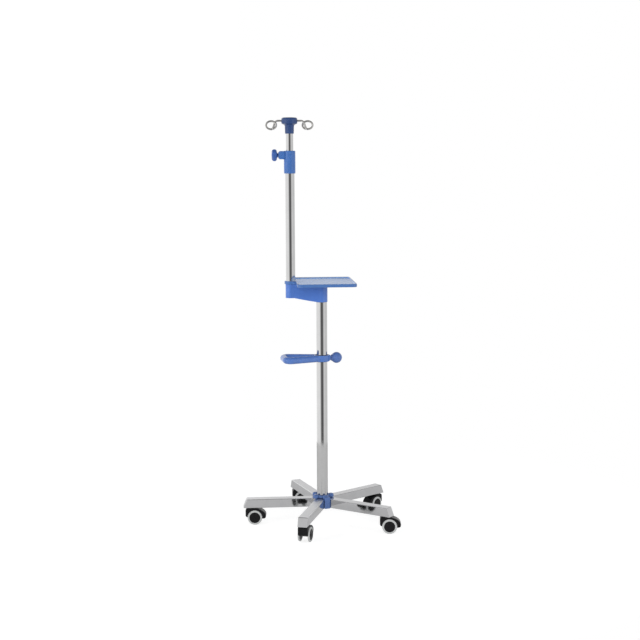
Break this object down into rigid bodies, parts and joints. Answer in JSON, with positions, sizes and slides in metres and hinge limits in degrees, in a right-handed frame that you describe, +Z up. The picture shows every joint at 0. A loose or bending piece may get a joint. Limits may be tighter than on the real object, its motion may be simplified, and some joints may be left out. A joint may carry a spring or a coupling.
{
  "type": "drip stand",
  "caption": "Rolling drip stand: star base on twin-wheel casters, clamped push handle, tray bracket with an offset mast, telescopic rod with pigtail bag hooks.",
  "frame": {"origin": "centre of the footprint on the floor, 9.5 mm to the left of the lower tube's axis", "axes": "+Z up along the tubes, +X from the offset mast towards the tray's free edge, +Y to the tray's rear edge"},
  "size_m": [0.5274, 0.5282, 1.379],
  "materials": {
    "blue_plastic": "glossy moulded plastic, mid blue",
    "chrome_tube": "polished tube",
    "polished_aluminium": "polished casting",
    "hook_wire": "polished wire",
    "steel": "bright zinc",
    "black_plastic": "glossy moulded plastic, black",
    "tread_rubber": "matt light grey tread",
    "white_plastic": "matt natural nylon"
  },
  "bodies": {
    "stand": {"lower_tube": "chrome_tube", "tube_plug": "steel", "hub_bolt": "steel", "base_hub": "polished_aluminium", "leg_1": "polished_aluminium", "leg_2": "polished_aluminium", "leg_3": "polished_aluminium", "leg_4": "polished_aluminium", "leg_5": "polished_aluminium", "hub_cover": "blue_plastic", "bracket": "blue_plastic", "tray": "blue_plastic", "upper_tube": "chrome_tube", "lock_collar": "blue_plastic", "caster_1_stem": "steel", "caster_2_stem": "steel", "caster_3_stem": "steel", "caster_4_stem": "steel", "caster_5_stem": "steel"},
    "rod_guide": {"rod_guide": "white_plastic"},
    "rod": {"extension_rod": "chrome_tube", "hook_head": "blue_plastic", "hook_left": "hook_wire", "hook_right": "hook_wire"},
    "lock_knob": {"lock_knob": "blue_plastic", "lock_screw": "steel"},
    "handle_liner": {"handle_liner": "black_plastic"},
    "handle": {"handle": "blue_plastic"},
    "handle_knob": {"handle_knob": "blue_plastic", "handle_screw": "steel"},
    "caster_1_swivel": {"caster_1_hood": "black_plastic", "caster_1_axle": "steel"},
    "caster_1_wheel_a": {"caster_1_wheel_a": "black_plastic", "caster_1_tyre_a": "tread_rubber"},
    "caster_1_wheel_b": {"caster_1_wheel_b": "black_plastic", "caster_1_tyre_b": "tread_rubber"},
    "caster_2_swivel": {"caster_2_hood": "black_plastic", "caster_2_axle": "steel"},
    "caster_2_wheel_a": {"caster_2_wheel_a": "black_plastic", "caster_2_tyre_a": "tread_rubber"},
    "caster_2_wheel_b": {"caster_2_wheel_b": "black_plastic", "caster_2_tyre_b": "tread_rubber"},
    "caster_3_swivel": {"caster_3_hood": "black_plastic", "caster_3_axle": "steel"},
    "caster_3_wheel_a": {"caster_3_wheel_a": "black_plastic", "caster_3_tyre_a": "tread_rubber"},
    "caster_3_wheel_b": {"caster_3_wheel_b": "black_plastic", "caster_3_tyre_b": "tread_rubber"},
    "caster_4_swivel": {"caster_4_hood": "black_plastic", "caster_4_axle": "steel"},
    "caster_4_wheel_a": {"caster_4_wheel_a": "black_plastic", "caster_4_tyre_a": "tread_rubber"},
    "caster_4_wheel_b": {"caster_4_wheel_b": "black_plastic", "caster_4_tyre_b": "tread_rubber"},
    "caster_5_swivel": {"caster_5_hood": "black_plastic", "caster_5_axle": "steel"},
    "caster_5_wheel_a": {"caster_5_wheel_a": "black_plastic", "caster_5_tyre_a": "tread_rubber"},
    "caster_5_wheel_b": {"caster_5_wheel_b": "black_plastic", "caster_5_tyre_b": "tread_rubber"}
  },
  "joints": [
    {"name": "rod_slide", "type": "slide", "parent": "stand", "child": "rod_guide", "axis": [0, 0, 1], "range_m": [-0.054, 0.3]},
    {"name": "rod_turn", "type": "hinge", "parent": "rod_guide", "child": "rod", "pos_m": [-0.0945, 0, 0.942], "axis": [0, 0, 1], "continuous": true},
    {"name": "lock_knob_turn", "type": "hinge", "parent": "stand", "child": "lock_knob", "pos_m": [-0.0945, 0, 1.2556], "axis": [-1, 0, 0], "range_deg": [0, 360]},
    {"name": "handle_slide", "type": "slide", "parent": "stand", "child": "handle_liner", "axis": [0, 0, 1], "range_m": [-0.4, 0.17]},
    {"name": "handle_turn", "type": "hinge", "parent": "handle_liner", "child": "handle", "pos_m": [0.0095, 0, 0.572], "axis": [0, 0, 1], "continuous": true},
    {"name": "handle_knob_turn", "type": "hinge", "parent": "handle", "child": "handle_knob", "pos_m": [0.06006, 0.00666, 0.572], "axis": [0.9914, 0.1305, 0], "range_deg": [0, 360]},
    {"name": "caster_1_swivel", "type": "hinge", "parent": "stand", "child": "caster_1_swivel", "pos_m": [-0.2375, 0, 0.0555], "axis": [0, 0, 1], "continuous": true},
    {"name": "caster_1_roll_a", "type": "hinge", "parent": "caster_1_swivel", "child": "caster_1_wheel_a", "pos_m": [-0.22304, -0.00101, 0.025], "axis": [0.0698, 0.9976, 0], "continuous": true},
    {"name": "caster_1_roll_b", "type": "hinge", "parent": "caster_1_swivel", "child": "caster_1_wheel_b", "pos_m": [-0.22304, -0.00101, 0.025], "axis": [0.0698, 0.9976, 0], "continuous": true},
    {"name": "caster_2_swivel", "type": "hinge", "parent": "stand", "child": "caster_2_swivel", "pos_m": [-0.06683, -0.23491, 0.0555], "axis": [0, 0, 1], "continuous": true},
    {"name": "caster_2_roll_a", "type": "hinge", "parent": "caster_2_swivel", "child": "caster_2_wheel_a", "pos_m": [-0.06187, -0.22129, 0.025], "axis": [-0.9397, 0.342, 0], "continuous": true},
    {"name": "caster_2_roll_b", "type": "hinge", "parent": "caster_2_swivel", "child": "caster_2_wheel_b", "pos_m": [-0.06187, -0.22129, 0.025], "axis": [-0.9397, 0.342, 0], "continuous": true},
    {"name": "caster_3_swivel", "type": "hinge", "parent": "stand", "child": "caster_3_swivel", "pos_m": [0.20933, -0.14518, 0.0555], "axis": [0, 0, 1], "continuous": true},
    {"name": "caster_3_roll_a", "type": "hinge", "parent": "caster_3_swivel", "child": "caster_3_wheel_a", "pos_m": [0.22377, -0.14645, 0.025], "axis": [0.0872, 0.9962, 0], "continuous": true},
    {"name": "caster_3_roll_b", "type": "hinge", "parent": "caster_3_swivel", "child": "caster_3_wheel_b", "pos_m": [0.22377, -0.14645, 0.025], "axis": [0.0872, 0.9962, 0], "continuous": true},
    {"name": "caster_4_swivel", "type": "hinge", "parent": "stand", "child": "caster_4_swivel", "pos_m": [0.20933, 0.14518, 0.0555], "axis": [0, 0, 1], "continuous": true},
    {"name": "caster_4_roll_a", "type": "hinge", "parent": "caster_4_swivel", "child": "caster_4_wheel_a", "pos_m": [0.19925, 0.13475, 0.025], "axis": [0.7193, -0.6947, 0], "continuous": true},
    {"name": "caster_4_roll_b", "type": "hinge", "parent": "caster_4_swivel", "child": "caster_4_wheel_b", "pos_m": [0.19925, 0.13475, 0.025], "axis": [0.7193, -0.6947, 0], "continuous": true},
    {"name": "caster_5_swivel", "type": "hinge", "parent": "stand", "child": "caster_5_swivel", "pos_m": [-0.06683, 0.23491, 0.0555], "axis": [0, 0, 1], "continuous": true},
    {"name": "caster_5_roll_a", "type": "hinge", "parent": "caster_5_swivel", "child": "caster_5_wheel_a", "pos_m": [-0.05234, 0.23542, 0.025], "axis": [-0.0349, 0.9994, 0], "continuous": true},
    {"name": "caster_5_roll_b", "type": "hinge", "parent": "caster_5_swivel", "child": "caster_5_wheel_b", "pos_m": [-0.05234, 0.23542, 0.025], "axis": [-0.0349, 0.9994, 0], "continuous": true}
  ]
}
